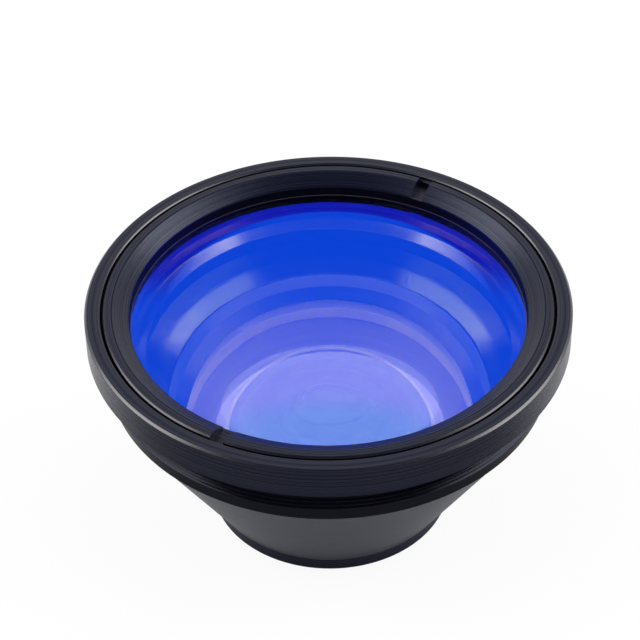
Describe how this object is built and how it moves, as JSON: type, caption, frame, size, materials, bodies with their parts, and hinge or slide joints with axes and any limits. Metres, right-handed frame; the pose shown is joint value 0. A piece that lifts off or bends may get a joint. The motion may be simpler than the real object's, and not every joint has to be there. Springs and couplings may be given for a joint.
{
  "type": "f-theta scan lens",
  "caption": "F-theta scan lens for a laser scanning head: stepped, cone-shaped black anodised barrel with a threaded mount and blue-coated glass, standing on its small end.",
  "frame": {"origin": "centre of the nose ring's end face, the small end that the lens stands on", "axes": "+Z along the optical axis towards the large output end, -Y towards the front"},
  "size_m": [0.09, 0.09, 0.0472],
  "materials": {
    "anodised_satin": "black anodised, fine turned",
    "anodised_matt": "black anodised, matt against stray light",
    "coated_glass": "polished, blue anti-reflection coating",
    "inner_glass": "polished, violet anti-reflection coating"
  },
  "bodies": {
    "root": {"barrel": "anodised_satin", "output_retaining_ring": "anodised_satin", "nose_retaining_ring": "anodised_satin", "output_spacer": "anodised_matt", "middle_retaining_ring": "anodised_matt", "output_lens": "coated_glass", "middle_lens": "inner_glass", "entrance_lens": "inner_glass"}
  },
  "joints": []
}
